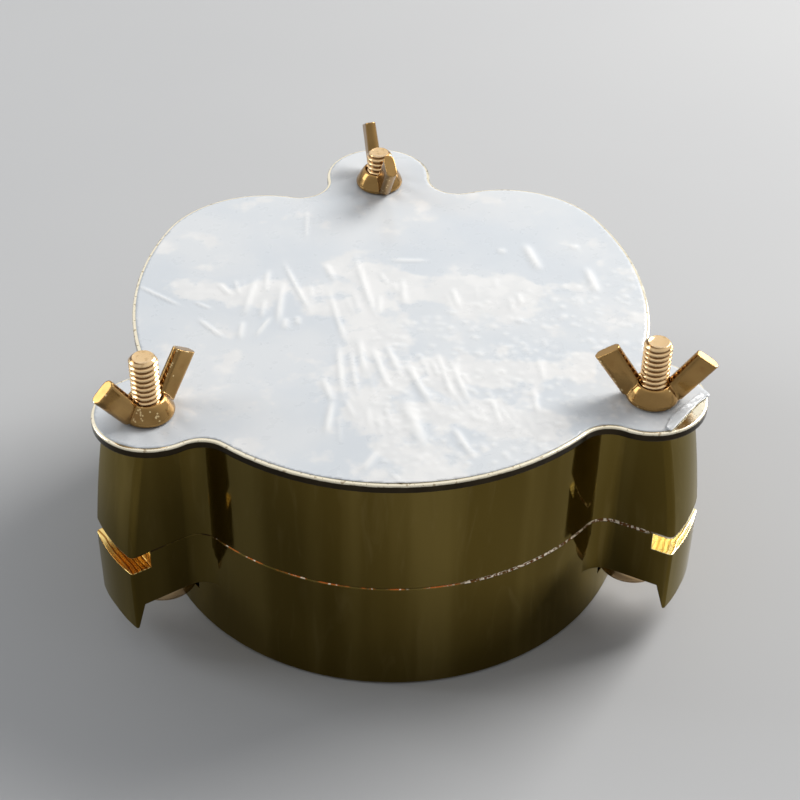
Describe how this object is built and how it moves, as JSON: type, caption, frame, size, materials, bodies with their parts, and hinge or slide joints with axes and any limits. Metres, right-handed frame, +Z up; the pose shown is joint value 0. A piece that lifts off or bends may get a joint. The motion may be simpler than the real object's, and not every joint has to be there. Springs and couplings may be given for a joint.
{
  "type": "denture flask",
  "caption": "Arch-shaped brass moulding flask with two halves, a lid plate, pry slots at its ears, and carriage bolts with wing nuts that clamp the stack.",
  "frame": {"origin": "on the base plane, at the centre of the round front wall's arc", "axes": "+Z up through the stack, +Y towards the back ear, the part is mirror symmetric about the YZ plane apart from the turn of its wing nuts"},
  "size_m": [0.138, 0.1338, 0.0763],
  "materials": {
    "polished_brass": "mirror polished",
    "lid_brass": "polished rim",
    "protective_film": "satin, creased",
    "ejector_brass": "turned",
    "bolt_brass": "bright",
    "nut_brass": "bright cast"
  },
  "bodies": {
    "flask": {"lower_half": "polished_brass", "upper_half": "polished_brass", "lid_plate": "lid_brass", "lid_film": "protective_film", "ejector_plate": "ejector_brass", "bolt_front_left": "bolt_brass", "bolt_front_right": "bolt_brass", "bolt_back": "bolt_brass"},
    "front_left_wing_nut": {"wing_nut_front_left": "nut_brass"},
    "front_right_wing_nut": {"wing_nut_front_right": "nut_brass"},
    "back_wing_nut": {"wing_nut_back": "nut_brass"}
  },
  "joints": [
    {"name": "front_left_nut_turn", "type": "hinge", "parent": "flask", "child": "front_left_wing_nut", "pos_m": [-0.05473, -0.0316, 0.0614], "axis": [0, 0, 1], "continuous": true},
    {"name": "front_right_nut_turn", "type": "hinge", "parent": "flask", "child": "front_right_wing_nut", "pos_m": [0.05473, -0.0316, 0.0614], "axis": [0, 0, 1], "continuous": true},
    {"name": "back_nut_turn", "type": "hinge", "parent": "flask", "child": "back_wing_nut", "pos_m": [0, 0.0582, 0.0614], "axis": [0, 0, 1], "continuous": true}
  ]
}
